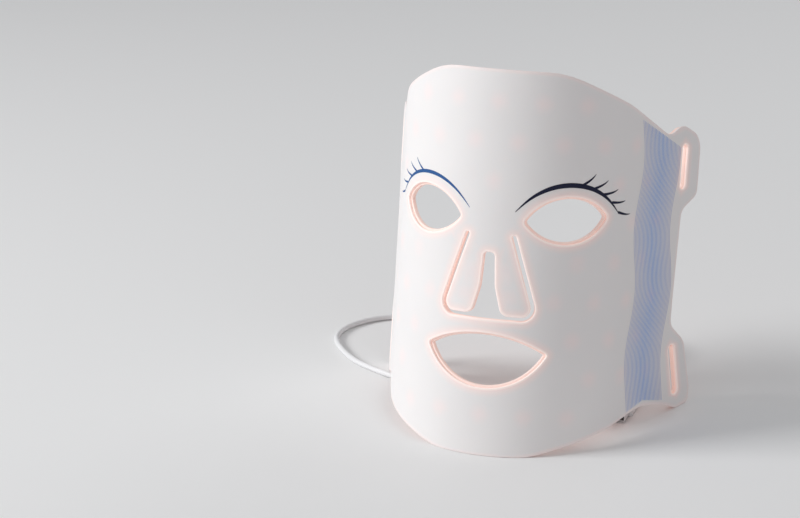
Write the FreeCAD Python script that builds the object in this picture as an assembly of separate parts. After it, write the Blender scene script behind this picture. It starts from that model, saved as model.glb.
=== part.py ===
import FreeCAD, Part
import math
import os

Vector = FreeCAD.Vector

# A flexible light therapy face mask. Two silicone sheets, an opaque cover outside and a
# translucent liner on the face side, hold a flexible circuit with rows of emitters between
# them. The sheet is drawn flat, as width s from the centre line and height t above the chin,
# and is then wrapped round an upright bent section and leant back until it stands on its
# chin and its two lower strap tabs. All sizes are in millimetres and degrees.

# The bent section: an arc round the face, then a straight flank on each side.
bend_radius = 73.0
arc_half = 89.0

# How the mask stands.
lean_angle = 10.0
rest_trim = 0.6

# Thickness of the layers, from the outside to the face.
cover_thickness = 1.6
liner_thickness = 2.4
pocket_depth = 1.0
circuit_thickness = 0.2

# The outline.
mask_height = 216.5
brow_flat = 36.0
brow_radius = 60.0
brow_side = 80.0
brow_drop = 16.7
temple_drop = 36.2
waist_side = 136.5
waist_height = 84.0
waist_radius = 120.0
jaw_side = 110.0
jaw_height = 25.5
jaw_radius = 45.0
jaw_drop = 3.5
chin_flat = 24.0
chin_radius = 60.0

# Strap tabs and their slots.
tab_reach = 17.8
tab_length = 41.8
tab_middle = 165.4
tab_crown = 7.8
tab_crown_step = 2.0
tab_crown_radius = 12.0
tab_root_step = 15.0
tab_root_radius = 10.0
tab_neck = 2.3
tab_heel = 8.2
tab_corner = 13.0
tab_foot_corner = 6.0
tab_fillet = 7.0
lower_tab_shoulder = 69.5
lower_tab_slope = 10.5
lower_tab_bevel = 9.8
lower_tab_corner = 12.0
lower_tab_reach = 25.3
lower_tab_flank = 9.5
foot_width = 14.5
foot_corner = 4.0
foot_fillet = 5.0
foot_root = 7.0
slot_width = 6.0
upper_slot_length = 26.0
upper_slot_margin = 13.3
upper_slot_drop = 3.6
lower_slot_length = 31.0
lower_slot_margin = 16.3
lower_slot_height = 42.5
lower_slot_tilt = 15.0

# Eyes.
eye_inner = 18.0
eye_outer = 68.0
eye_inner_height = 133.5
eye_outer_height = 137.5
eye_top = 148.5
eye_bottom = 122.0
eye_corner = 3.0

# Mouth.
mouth_half = 36.0
mouth_corner_height = 60.0
mouth_top = 70.0
mouth_bottom = 39.0
mouth_corner = 1.6

# Nose: two lobes, parted by a slot, that hang from hinge lines beside the bridge.
hinge_height = 112.0
slot_top = 115.5
slot_half = 3.3
slit_top = 125.5
slit_top_side = 12.0
slit_width = 2.5
nose_base = 78.0
lobe_side = 28.0
lobe_flare = 5.4
lobe_swell = 1.0
lobe_waist = 16.0
lobe_corner = 5.3
lobe_gap = 2.3
slot_crown = 2.6
slit_corner = 1.0
nose_corner = 7.5

# A lobe's own pocket and board.
lobe_rim = 2.6
lobe_board_gap = 0.5

# The liner's lip inside the eyes and mouth, and how far the circuit keeps from edges.
liner_lip = 1.2
liner_inset = 0.8
rim_width = 4.0
circuit_gap = 1.5
island_cut = 0.3
nose_island_cut = 0.12

# Emitters: rows of small square packages with a lens bump over each.
emitter_seat = 0.02
emitter_side = 3.0
emitter_height = 0.65
emitter_pitch = 25.0
first_row = 24.0
last_row_drop = 17.5
row_count = 9
emitter_margin = 4.0
lens_base = 6.6
lens_top = 4.4
lens_height = 0.9
lens_root = 0.6
infrared_every = 3

# Terminal housing on the left flank, where the cord comes in.
housing_side = -98.5
housing_height = 39.0
housing_width = 16.0
housing_length = 26.0
housing_depth = 5.6
housing_wall = 1.4
housing_corner = 3.0
lid_thickness = 1.5
lid_lip = 1.0
lid_clearance = 0.15
board_thickness = 1.0
board_clearance = 0.4
board_stand = 0.8
chip_side = 5.0
chip_height = 1.2
pin_pitch = 2.0
pin_count = 4
pin_side = 0.64
pin_window = 1.6
pin_row = 6.0
rib_width = 1.0

# Cord, strain relief and plug. Round sections are drawn with flat sides.
cord_radius = 1.7
section_sides = 10
coil_sides = 24
relief_root = 2.7
relief_tip = 2.2
relief_length = 12.0
relief_drop = 26.0
relief_middle = 3.0
relief_low = 4.0
cord_lead = 14.0
cord_route = [
    Vector(-90.0, 28.5, 1.7),
    Vector(-118.0, 44.0, 1.7),
    Vector(-146.0, 84.0, 1.7),
    Vector(-124.0, 127.0, 1.7),
    Vector(-76.0, 129.0, 1.7),
    Vector(-24.0, 135.0, 1.7),
    Vector(26.0, 134.1, 1.7),
]
tail_route = [
    Vector(60.1, 112.0, 8.5),
    Vector(61.3, 80.0, 4.6),
]
coil_centre = Vector(38.0, 112.0, 0)
coil_radius = 18.7
coil_columns = 3
coil_layers = 3
plug_length = 22.0
plug_width = 15.5
plug_height = 7.6
plug_corner = 1.5
plug_tip = Vector(61.0, 36.0, 0)
plug_middle = 4.0
shell_length = 12.0
shell_width = 12.0
shell_height = 4.5
shell_wall = 0.3
tongue_thickness = 1.8
contact_thickness = 0.25
contact_width = 1.2
contact_pitch = 2.4
boot_length = 11.0

sheet_thickness = cover_thickness + liner_thickness
pocket_floor = cover_thickness + pocket_depth
sheet_reach = 2 * mask_height


# ---- The bent section -------------------------------------------------------------------


def bend_angle(s):
    """The turn of the section, in radians, at width s from the centre line."""
    return max(-arc_half, min(arc_half, s)) / bend_radius


def section_point(s, depth):
    """A point of the section at width s, depth below the outer surface."""
    angle = bend_angle(s)
    radius = bend_radius - depth
    straight = s - angle * bend_radius
    x = radius * math.sin(angle) + straight * math.cos(angle)
    y = bend_radius - radius * math.cos(angle) + straight * math.sin(angle)
    return Vector(x, y, 0)


def arc_surface(depth):
    surface = Part.Cylinder()
    surface.Center = Vector(0, bend_radius, 0)
    surface.Radius = bend_radius - depth
    return surface


def bent_edge(edge, surface):
    """An edge of the flat pattern, laid on the round front."""
    curve = edge.Curve.toBSpline(edge.FirstParameter, edge.LastParameter)
    if edge.Orientation == "Reversed":
        curve.reverse()
    poles = [
        FreeCAD.Base.Vector2d(1.5 * math.pi + pole.x / bend_radius, pole.y)
        for pole in curve.getPoles()
    ]
    flat = Part.Geom2d.BSplineCurve2d()
    flat.buildFromPolesMultsKnots(
        poles,
        curve.getMultiplicities(),
        curve.getKnots(),
        curve.isPeriodic(),
        curve.Degree,
        curve.getWeights(),
    )
    return flat.toShape(surface)


def arc_zone(pattern, near, far):
    """A flat face wrapped round the front, as a solid between two depths."""
    surfaces = [arc_surface(near), arc_surface(far)]
    flat_edges = pattern.OuterWire.OrderedEdges
    rims = [[bent_edge(edge, surface) for edge in flat_edges] for surface in surfaces]
    skins = [Part.Face(surface, Part.Wire(rim)) for surface, rim in zip(surfaces, rims)]
    walls = [Part.makeRuledSurface(*pair) for pair in zip(*rims)]
    shell = Part.Shell(skins + walls)
    shell.sewShape()
    solid = Part.Solid(shell)
    if solid.Volume < 0:
        solid.reverse()
    return solid


def flank_zone(pattern, side, near, far):
    """A flat face on the flank beyond width side, as a solid between two depths."""
    angle = bend_angle(side)
    along = Vector(math.cos(angle), math.sin(angle), 0)
    outward = Vector(math.sin(angle), -math.cos(angle), 0)
    turn = FreeCAD.Rotation(along, Vector(0, 0, 1), outward, "XYZ")
    face = pattern.copy()
    face.translate(Vector(-side, 0, 0))
    face.Placement = FreeCAD.Placement(section_point(side, near), turn) * face.Placement
    return face.extrude(outward * (near - far))


def wrap(pattern, near, far):
    """The flat pattern as a bent sheet that fills the depths from near to far."""
    zones = [(-sheet_reach, -arc_half), (-arc_half, arc_half), (arc_half, sheet_reach)]
    solids = []
    for start, end in zones:
        strip = Part.makePlane(end - start, 2 * sheet_reach, Vector(start, -sheet_reach / 2, 0))
        box = pattern.BoundBox
        whole = box.XMin >= start and box.XMax <= end
        for face in [pattern] if whole else pattern.common(strip).Faces:
            if end == arc_half:
                solids.append(arc_zone(face, near, far))
            elif start == arc_half:
                solids.append(flank_zone(face, arc_half, near, far))
            else:
                solids.append(flank_zone(face, -arc_half, near, far))
        if whole:
            break
    return solids[0].fuse(solids[1:]) if len(solids) > 1 else solids[0]


def placed(shape, s, t, depth):
    """A shape built round the origin, x along the sheet and y into it, set on the sheet."""
    turn = FreeCAD.Rotation(Vector(0, 0, 1), math.degrees(bend_angle(s)))
    copy = shape.copy()
    copy.Placement = FreeCAD.Placement(section_point(s, depth) + Vector(0, 0, t), turn)
    return copy


# ---- Flat outlines ----------------------------------------------------------------------


def rounded(corners):
    """A flat face with the given corners (s, t, radius), each rounded by its radius."""
    edges = []
    ends = []
    for index, (s, t, radius) in enumerate(corners):
        corner = Vector(s, t, 0)
        before = Vector(*corners[index - 1][:2], 0) - corner
        after = Vector(*corners[(index + 1) % len(corners)][:2], 0) - corner
        before.normalize()
        after.normalize()
        if radius == 0:
            ends.append((corner, corner))
            continue
        half = before.getAngle(after) / 2
        middle = before + after
        middle.normalize()
        centre = corner + middle * (radius / math.sin(half))
        start = corner + before * (radius / math.tan(half))
        end = corner + after * (radius / math.tan(half))
        edges.append(Part.Arc(start, centre - middle * radius, end).toShape())
        ends.append((start, end))
    for index, (start, end) in enumerate(ends):
        edges.append(Part.makeLine(ends[index - 1][1], start))
    return Part.Face(Part.Wire(Part.__sortEdges__(edges)))


def mirrored(corners):
    """The corners of a right half with those of its mirror image."""
    left = [(-s, t, radius) for s, t, radius in reversed(corners)]
    return corners + left


def reflect(face):
    return face.mirror(Vector(0, 0, 0), Vector(1, 0, 0))


def rest_height(s):
    """The height on the sheet that touches the surface once the mask leans."""
    return section_point(s, 0).y * math.tan(math.radians(lean_angle))


def upper_tab_corners():
    """The tab for the upper strap, from the temple round to the waist."""
    tab_side = waist_side + tab_reach
    crown = tab_middle + tab_length / 2
    foot = tab_middle - tab_length / 2
    return [
        (waist_side - tab_root_step, mask_height - temple_drop, tab_root_radius),
        (waist_side - tab_crown_step, crown, tab_crown_radius),
        (tab_side, crown - tab_crown, tab_corner),
        (tab_side, foot, tab_foot_corner),
        (waist_side + tab_neck, foot - tab_heel, tab_fillet),
    ]


def lower_tab_corners():
    """The tab for the lower strap, from the waist down to its foot."""
    foot_side = waist_side + lower_tab_reach
    foot_start = foot_side - foot_width
    return [
        (waist_side, lower_tab_shoulder, tab_fillet),
        (foot_side - lower_tab_bevel, lower_tab_shoulder - lower_tab_slope, lower_tab_corner),
        (foot_side, rest_height(foot_side) + lower_tab_flank, foot_fillet),
        (foot_side, rest_height(foot_side), foot_corner),
        (foot_start, rest_height(foot_start), foot_corner),
        (foot_start - foot_root, jaw_height - jaw_drop, foot_fillet),
    ]


def body_outline():
    right = [
        (brow_flat, mask_height, brow_radius),
        (brow_side, mask_height - brow_drop, brow_radius),
    ]
    right += upper_tab_corners()
    right.append((waist_side, waist_height, waist_radius))
    right += lower_tab_corners()
    right.append((jaw_side, jaw_height, jaw_radius))
    right.append((chin_flat, 0.0, chin_radius))
    return rounded(mirrored(right))


def lens_shape(left, right, top, bottom, corner):
    """A face between two arcs that meet at two tips, with the tips rounded."""
    upper = Part.Arc(left, top, right).toShape()
    lower = Part.Arc(right, bottom, left).toShape()
    face = Part.Face(Part.Wire([upper, lower]))
    return face.makeOffset2D(-corner).makeOffset2D(corner)


def eye_outline():
    middle = (eye_inner + eye_outer) / 2
    return lens_shape(
        Vector(eye_inner, eye_inner_height, 0),
        Vector(eye_outer, eye_outer_height, 0),
        Vector(middle, eye_top, 0),
        Vector(middle, eye_bottom, 0),
        eye_corner,
    )


def mouth_outline():
    return lens_shape(
        Vector(-mouth_half, mouth_corner_height, 0),
        Vector(mouth_half, mouth_corner_height, 0),
        Vector(0, mouth_top, 0),
        Vector(0, mouth_bottom, 0),
        mouth_corner,
    )


def lobe_edge(t):
    """The outer edge of a nose lobe at height t, straight from the slit's top."""
    slope = (lobe_side - slit_top_side) / (slit_top - nose_base)
    return slit_top_side + slope * (slit_top - t)


def nose_outline():
    """The gap in the sheet that holds both lobes, under the bridge."""
    right = [
        (slot_half, slot_top, slot_crown),
        (slot_half, hinge_height, 0.0),
        (lobe_edge(hinge_height), hinge_height, 0.0),
        (lobe_edge(slit_top), slit_top, slit_corner),
        (lobe_edge(slit_top) + slit_width, slit_top, slit_corner),
        (lobe_edge(nose_base) + slit_width, nose_base, nose_corner),
    ]
    return rounded(mirrored(right))


def lobe_corners():
    base = nose_base + lobe_gap
    return [
        (slot_half, hinge_height, 0.0),
        (lobe_edge(hinge_height), hinge_height, 0.0),
        (lobe_edge(base), base, lobe_corner),
        (slot_half + lobe_flare, base, lobe_corner),
        (slot_half + lobe_swell, base + lobe_waist, lobe_waist),
    ]


def lobe_outline():
    return rounded(lobe_corners())


def slot_outline(side, height, length, tilt):
    half_width = slot_width / 2
    half_length = length / 2
    corners = [
        (half_width, half_length, half_width - 0.01),
        (-half_width, half_length, half_width - 0.01),
        (-half_width, -half_length, half_width - 0.01),
        (half_width, -half_length, half_width - 0.01),
    ]
    face = rounded(corners)
    face.rotate(Vector(0, 0, 0), Vector(0, 0, 1), tilt)
    face.translate(Vector(side, height, 0))
    return face


def slot_outlines():
    upper_side = waist_side + tab_reach - upper_slot_margin - slot_width / 2
    upper = slot_outline(upper_side, tab_middle - upper_slot_drop, upper_slot_length, 0)
    lower_side = waist_side + lower_tab_reach - lower_slot_margin - slot_width / 2
    lower = slot_outline(lower_side, lower_slot_height, lower_slot_length, lower_slot_tilt)
    return [upper, lower, reflect(upper), reflect(lower)]


# ---- The sheets -------------------------------------------------------------------------


def pierced(solid, outlines, near, far):
    for outline in outlines:
        solid = solid.cut(wrap(outline, near - 0.5, far + 0.5))
    return solid


def face_openings(lip):
    """Eyes and mouth, drawn in by the lip."""
    eye = eye_outline()
    mouth = mouth_outline()
    if lip:
        eye = eye.makeOffset2D(-lip)
        mouth = mouth.makeOffset2D(-lip)
    return [eye, reflect(eye), mouth]


def cover_solid():
    solid = wrap(body_outline(), 0, cover_thickness)
    outlines = face_openings(0) + [nose_outline()] + slot_outlines()
    return pierced(solid, outlines, 0, cover_thickness)


def sheet_corners():
    """The sheet's corners without its strap tabs."""
    waist = waist_side - tab_neck
    return [
        (brow_flat, mask_height, 0.0),
        (brow_side, mask_height - brow_drop, 0.0),
        (waist_side - tab_root_step, mask_height - temple_drop, 0.0),
        (waist, tab_middle - tab_length / 2, 0.0),
        (waist, jaw_height, 0.0),
        (jaw_side, jaw_height, 0.0),
        (chin_flat, 0.0, 0.0),
    ]


def island(face, gap, corner_cut):
    """An octagon round an opening, gap away from it, with a share of its height cut off its corners."""
    box = face.BoundBox
    left, right = box.XMin - gap, box.XMax + gap
    low, high = box.YMin - gap, box.YMax + gap
    cut = corner_cut * (high - low)
    corners = [
        (left + cut, low, 0.0),
        (right - cut, low, 0.0),
        (right, low + cut, 0.0),
        (right, high - cut, 0.0),
        (right - cut, high, 0.0),
        (left + cut, high, 0.0),
        (left, high - cut, 0.0),
        (left, low + cut, 0.0),
    ]
    return rounded(corners)


def circuit_outline(gap):
    return rounded(mirrored(sheet_corners())).makeOffset2D(-(liner_inset + rim_width + gap))


def circuit_islands(gap):
    holes = [island(opening, rim_width + gap, island_cut) for opening in face_openings(0)]
    return holes + [island(nose_outline(), rim_width + gap, nose_island_cut)]


def circuit_solid(gap, near, far):
    """A sheet the shape of the circuit, kept gap inside the liner's pocket."""
    return pierced(wrap(circuit_outline(gap), near, far), circuit_islands(gap), near, far)


def emitter_region():
    """The flat face that emitters may stand on: the circuit without the housing's place."""
    region = circuit_outline(circuit_gap)
    across = (housing_width + lens_base) / 2
    tall = (housing_length + lens_base) / 2
    shadow = Part.makePlane(2 * across, 2 * tall, Vector(-across, -tall, 0))
    shadow.translate(Vector(housing_side, housing_height, 0))
    for hole in circuit_islands(circuit_gap) + [shadow]:
        region = region.cut(hole)
    return max(region.Faces, key=lambda face: face.Area)


def emitter_places(region, row):
    """Places in a row where an emitter keeps its margin from the circuit's edges."""
    t = first_row + row * (mask_height - last_row_drop - first_row) / (row_count - 1)
    start = (row % 2) * emitter_pitch / 2
    count = int(2 * waist_side / emitter_pitch)
    places = []
    for index in range(-count, count):
        s = start + index * emitter_pitch
        point = Part.Vertex(s, t, 0)
        inside = region.isInside(Vector(s, t, 0), 0.01, True)
        edge = min(wire.distToShape(point)[0] for wire in region.Wires)
        if inside and edge >= emitter_margin:
            places.append((s, t))
    return places


def emitter(s, t):
    half = emitter_side / 2
    block = Part.makeBox(emitter_side, emitter_height, emitter_side, Vector(-half, 0, -half))
    return placed(block, s, t, cover_thickness + circuit_thickness + emitter_seat)


def lens(s, t):
    """A lens bump, a low frustum that grows out of the liner towards the face."""
    base = lens_base / 2
    top = lens_top / 2
    tall = lens_root + lens_height
    bump = Part.makeWedge(-base, 0, -base, -top, -top, base, tall, base, top, top)
    return placed(bump, s, t, sheet_thickness - lens_root)


def liner_solid(places):
    """The face side sheet, with its pocket, lens bumps and the window for the leads."""
    outline = body_outline().makeOffset2D(-liner_inset)
    solid = wrap(outline, cover_thickness, sheet_thickness)
    outlines = face_openings(liner_lip) + [nose_outline()] + slot_outlines()
    solid = pierced(solid, outlines, cover_thickness, sheet_thickness)
    solid = solid.cut(circuit_solid(0, cover_thickness, pocket_floor))
    solid = solid.fuse([lens(s, t) for s, t in places])
    return solid.cut(placed(pin_window_block(), housing_side, housing_height, pocket_floor))


# ---- Nose lobes -------------------------------------------------------------------------


def lobe_places():
    middle = (slot_half + lobe_edge(hinge_height)) / 2
    return [
        (middle, hinge_height - 8),
        (middle + 3, hinge_height - 21),
    ]


def lobe_pieces():
    """The right nose lobe's cover, liner, circuit and emitters."""
    outline = lobe_outline()
    pocket = rounded([(s, t, 0.0) for s, t, radius in lobe_corners()]).makeOffset2D(-lobe_rim)
    board = pocket.makeOffset2D(-lobe_board_gap)
    liner = wrap(outline, cover_thickness, sheet_thickness)
    liner = liner.cut(wrap(pocket, cover_thickness - 0.5, pocket_floor))
    liner = liner.fuse([lens(s, t) for s, t in lobe_places()])
    return {
        "cover": wrap(outline, 0, cover_thickness),
        "liner": liner,
        "circuit": wrap(board, cover_thickness, cover_thickness + circuit_thickness),
        "emitters": Part.makeCompound([emitter(s, t) for s, t in lobe_places()]),
    }


# ---- Terminal housing -------------------------------------------------------------------


def housing_block(inset, low, high):
    """A round cornered block, x along the sheet, y away from it and z up."""
    across = housing_width / 2 - inset
    tall = housing_length / 2 - inset
    radius = max(housing_corner - inset, 0.5)
    corners = [
        (across, tall, radius),
        (-across, tall, radius),
        (-across, -tall, radius),
        (across, -tall, radius),
    ]
    face = rounded(corners)
    face.rotate(Vector(0, 0, 0), Vector(1, 0, 0), 90)
    face.translate(Vector(0, low, 0))
    return face.extrude(Vector(0, high - low, 0))


def pin_window_block():
    """The opening for the leads through the liner and the housing's floor."""
    span = pin_count * pin_pitch + 1
    thick = liner_thickness + housing_wall
    return Part.makeBox(span, thick, pin_window, Vector(-span / 2, 0, pin_row - pin_window / 2))


def housing_base():
    base = housing_block(0, 0, housing_depth)
    base = base.cut(housing_block(housing_wall, housing_wall, housing_depth))
    rib_long = housing_length - 2 * housing_wall - 2 * housing_corner
    for side in (-1, 1):
        middle = side * (housing_width / 2 - housing_wall - rib_width)
        corner = Vector(middle - rib_width / 2, housing_wall, -rib_long / 2)
        base = base.fuse(Part.makeBox(rib_width, board_stand, rib_long, corner))
    window = pin_window_block()
    window.translate(Vector(0, pocket_floor - sheet_thickness, 0))
    return base.cut(window)


def housing_lid():
    lid = housing_block(0, housing_depth, housing_depth + lid_thickness)
    fit = housing_wall + lid_clearance
    return lid.fuse(housing_block(fit, housing_depth - lid_lip, housing_depth))


def terminal_pieces():
    board_low = housing_wall + board_stand
    board_top = board_low + board_thickness
    chip_corner = Vector(-chip_side / 2, board_top, -chip_side / 2)
    pins = []
    pin_foot = cover_thickness + circuit_thickness - sheet_thickness
    for index in range(pin_count):
        x = (index - (pin_count - 1) / 2) * pin_pitch
        foot = Vector(x - pin_side / 2, pin_foot, pin_row - pin_side / 2)
        pins.append(Part.makeBox(pin_side, board_low - pin_foot, pin_side, foot))
    pieces = {
        "housing_base": housing_base(),
        "housing_lid": housing_lid(),
        "terminal_board": housing_block(housing_wall + board_clearance, board_low, board_top),
        "driver_chip": Part.makeBox(chip_side, chip_height, chip_side, chip_corner),
        "lead_pins": Part.makeCompound(pins),
        "strain_relief": strain_relief(),
    }
    return {
        name: placed(shape, housing_side, housing_height, sheet_thickness)
        for name, shape in pieces.items()
    }


def relief_axis():
    drop = math.radians(relief_drop)
    return Vector(-math.cos(drop), 0, -math.sin(drop))


def relief_seat():
    return Vector(-housing_width / 2, relief_middle, relief_low - housing_length / 2)


def strain_relief():
    """A taper round the cord that seats against the housing's back wall."""
    start = relief_seat() - relief_axis() * relief_root
    end = relief_seat() + relief_axis() * relief_length
    cone = taper(relief_root, relief_tip, start, end)
    return cone.cut(housing_block(0, 0, housing_depth + lid_thickness))


def relief_points(middle):
    """The tip of the strain relief, and a point of the cord straight beyond it."""
    points = []
    for length in (relief_length, relief_length + cord_lead):
        point = Part.Vertex(relief_seat() + relief_axis() * length)
        point = leant(placed(point, housing_side, housing_height, sheet_thickness))
        point.translate(Vector(0, -middle, -rest_trim))
        points.append(point.Vertexes[0].Point)
    return points


# ---- Cord and plug ----------------------------------------------------------------------


def section(radius, centre, axis, sides):
    """A many sided wire, its corners on a circle square to the axis."""
    upright = Vector(1, 0, 0) if abs(axis.z) > abs(axis.x) + abs(axis.y) else Vector(0, 0, 1)
    across = axis.cross(upright)
    across.normalize()
    above = across.cross(axis)
    above.normalize()
    points = []
    for index in range(sides):
        turn = 2 * math.pi * (index + 0.5) / sides
        points.append(centre + across * (radius * math.cos(turn)) + above * (radius * math.sin(turn)))
    return Part.makePolygon(points + points[:1])


def taper(start_radius, end_radius, start, end):
    wires = [
        section(start_radius, start, end - start, section_sides),
        section(end_radius, end, end - start, section_sides),
    ]
    return Part.makeLoft(wires, True, True)


def cord_tube(points, label):
    """Straight runs joined by tangent arcs, swept with the cord's section."""
    edges = []
    start = points[0]
    for index in range(1, len(points) - 1):
        back = points[index - 1] - points[index]
        ahead = points[index + 1] - points[index]
        shorter = min(back.Length, ahead.Length)
        half_turn = (math.pi - back.getAngle(ahead)) / 2
        radius = 0.45 * shorter / math.tan(half_turn)
        print(label, "bend radius", round(radius, 1))
        back.normalize()
        ahead.normalize()
        reach = 0.45 * shorter
        entry = points[index] + back * reach
        leave = points[index] + ahead * reach
        bisector = back + ahead
        bisector.normalize()
        centre_far = radius / math.cos(half_turn)
        middle = points[index] + bisector * (centre_far - radius)
        edges.append(Part.makeLine(start, entry))
        edges.append(Part.Arc(entry, middle, leave).toShape())
        start = leave
    edges.append(Part.makeLine(start, points[-1]))
    path = Part.Wire(edges)
    ring = Part.Face(section(cord_radius, points[0], points[1] - points[0], section_sides))
    tube = path.makePipe(ring)
    ratio = tube.Volume / (ring.Area * path.Length)
    print(label, "length", round(path.Length, 1), "volume ratio", round(ratio, 4))
    return tube


def coil_solid():
    half = cord_radius * coil_columns
    tall = Vector(0, 0, 2 * cord_radius * coil_layers)
    rims = [
        Part.Face(section(coil_radius + step, coil_centre, tall, coil_sides)).extrude(tall)
        for step in (half, -half)
    ]
    return rims[0].cut(rims[1])


def plug_block(length, width, height, back, corner):
    """A block that lies along -y from back, its long edges rounded."""
    base = Vector(plug_tip.x - width / 2, plug_tip.y - back - length, plug_middle - height / 2)
    block = Part.makeBox(width, length, height, base)
    if corner == 0:
        return block
    long_edges = [edge for edge in block.Edges if abs(edge.tangentAt(0).y) > 0.9]
    return block.makeFillet(corner, long_edges)


def plug_pieces():
    shell_hole = plug_block(
        shell_length, shell_width - 2 * shell_wall, shell_height - 2 * shell_wall, plug_length, 0
    )
    shell = plug_block(shell_length, shell_width, shell_height, plug_length, 0).cut(shell_hole)
    tongue = plug_block(
        shell_length - 0.5, shell_width - 2 * shell_wall, tongue_thickness, plug_length, 0
    )
    drop = (shell_height / 2 - shell_wall) - tongue_thickness / 2
    tongue.translate(Vector(0, 0, drop))
    contacts = []
    for index in range(4):
        contact = plug_block(shell_length - 3, contact_width, contact_thickness, plug_length, 0)
        x = (index - 1.5) * contact_pitch
        low = drop - (tongue_thickness + contact_thickness) / 2
        contact.translate(Vector(x, 0, low))
        contacts.append(contact)
    boot_start = Vector(plug_tip.x, plug_tip.y + boot_length, plug_middle)
    boot_end = Vector(plug_tip.x, plug_tip.y, plug_middle)
    return {
        "plug_body": plug_block(plug_length, plug_width, plug_height, 0, plug_corner),
        "plug_shell": shell,
        "plug_tongue": tongue,
        "plug_contacts": Part.makeCompound(contacts),
        "plug_boot": taper(relief_tip, relief_root, boot_start, boot_end),
    }


# ---- Assembly ---------------------------------------------------------------------------


def leant(shape):
    copy = shape.copy()
    copy.rotate(Vector(0, 0, 0), Vector(1, 0, 0), -lean_angle)
    return copy


def trimmed(shape):
    """The shape with what lies under the rest plane cut off."""
    box = shape.BoundBox
    if box.ZMin > 0:
        return shape
    floor = Part.makeBox(
        box.XLength + 2, box.YLength + 2, 10, Vector(box.XMin - 1, box.YMin - 1, -10)
    )
    return shape.cut(floor)


def build():
    """Every piece by name, standing on the surface with the origin under its middle."""
    region = emitter_region()
    rows = [emitter_places(region, row) for row in range(row_count)]
    pieces = {
        "front_cover": cover_solid(),
        "inner_liner": liner_solid([place for row in rows for place in row]),
        "flex_circuit": circuit_solid(
            circuit_gap, cover_thickness, cover_thickness + circuit_thickness
        ),
    }
    for index, row in enumerate(rows):
        kind = "infrared" if index % infrared_every == 1 else "red"
        if row:
            emitters = [emitter(s, t) for s, t in row]
            pieces[f"{kind}_row_{index + 1:02d}"] = Part.makeCompound(emitters)
    for name, shape in lobe_pieces().items():
        pieces[f"nose_lobe_right_{name}"] = shape
        pieces[f"nose_lobe_left_{name}"] = reflect(shape)
    pieces.update(terminal_pieces())
    pieces = {name: leant(shape) for name, shape in pieces.items()}
    sheets = Part.makeCompound([pieces["front_cover"], pieces["inner_liner"]])
    middle = sheets.optimalBoundingBox(False, False).Center.y
    for shape in pieces.values():
        shape.translate(Vector(0, -middle, -rest_trim))
    for name in ("front_cover", "inner_liner"):
        pieces[name] = trimmed(pieces[name])
    relief = relief_points(middle)
    pieces["cord_tube"] = cord_tube(relief + cord_route, "cord_tube")
    pieces["cord_coil"] = coil_solid()
    boot_start = Vector(plug_tip.x, plug_tip.y + boot_length, plug_middle)
    pieces["cord_tail"] = cord_tube(tail_route + [boot_start], "cord_tail")
    pieces.update(plug_pieces())
    return pieces


def main():
    os.makedirs("parts", exist_ok=True)
    for name, shape in build().items():
        shape.exportStep(f"parts/{name}.step")


main()
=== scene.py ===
import math

import bmesh
import bpy
from mathutils import Matrix, Vector
from mathutils.bvhtree import BVHTree
from mathutils.kdtree import KDTree


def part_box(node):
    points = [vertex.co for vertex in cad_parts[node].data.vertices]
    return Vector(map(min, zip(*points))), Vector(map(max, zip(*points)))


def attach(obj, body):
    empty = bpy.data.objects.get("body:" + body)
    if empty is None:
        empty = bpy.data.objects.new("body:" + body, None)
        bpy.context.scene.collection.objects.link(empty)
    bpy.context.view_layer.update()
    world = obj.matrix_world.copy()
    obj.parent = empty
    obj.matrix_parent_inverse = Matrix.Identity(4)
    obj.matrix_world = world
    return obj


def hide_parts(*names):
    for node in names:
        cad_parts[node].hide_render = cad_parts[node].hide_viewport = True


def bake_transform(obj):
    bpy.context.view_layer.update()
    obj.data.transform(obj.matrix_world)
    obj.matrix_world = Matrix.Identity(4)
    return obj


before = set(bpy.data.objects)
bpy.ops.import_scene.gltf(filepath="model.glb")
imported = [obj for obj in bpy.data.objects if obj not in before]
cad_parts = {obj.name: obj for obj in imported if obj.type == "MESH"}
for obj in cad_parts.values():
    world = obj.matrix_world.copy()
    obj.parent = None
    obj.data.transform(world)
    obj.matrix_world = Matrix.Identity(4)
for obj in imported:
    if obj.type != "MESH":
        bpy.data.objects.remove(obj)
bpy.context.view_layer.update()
mm = 0.001

# both sheets are drawn flat in millimetres, s across and t up, then bent round the face
sheet = {
    "bendRadius": 73.0,
    "arcHalf": 89.0,
    "lean": 10.0,
    "trim": 0.6,
    "cover": 1.6,
    "whole": 4.0,
    "linerInset": 0.8,
    "lip": 1.2,
    "rimRound": 0.6,
    "rimSteps": 2,
    "columnStep": 3.0,
    "flankStep": 12.0,
    "flankColumns": 6,
    "rowStep": 6.0,
    "arcSteps": 30,
    "tipSteps": 8,
    "turnStep": 8.0,
}
lean = math.radians(sheet["lean"])
middle = sheet["trim"] * math.tan(lean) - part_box("front_cover")[0].y / mm


# a point of the flat pattern, height outwards, on the bent and leant mask, in metres
def onMask(s, t, height):
    held = max(-sheet["arcHalf"], min(sheet["arcHalf"], s))
    turn = held / sheet["bendRadius"]
    radius = sheet["bendRadius"] + height
    x = radius * math.sin(turn) + (s - held) * math.cos(turn)
    y = sheet["bendRadius"] - radius * math.cos(turn) + (s - held) * math.sin(turn)
    z = t * math.cos(lean) - y * math.sin(lean) - sheet["trim"]
    return Vector((x, y * math.cos(lean) + t * math.sin(lean) - middle, max(z, 0.0))) * mm


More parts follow.
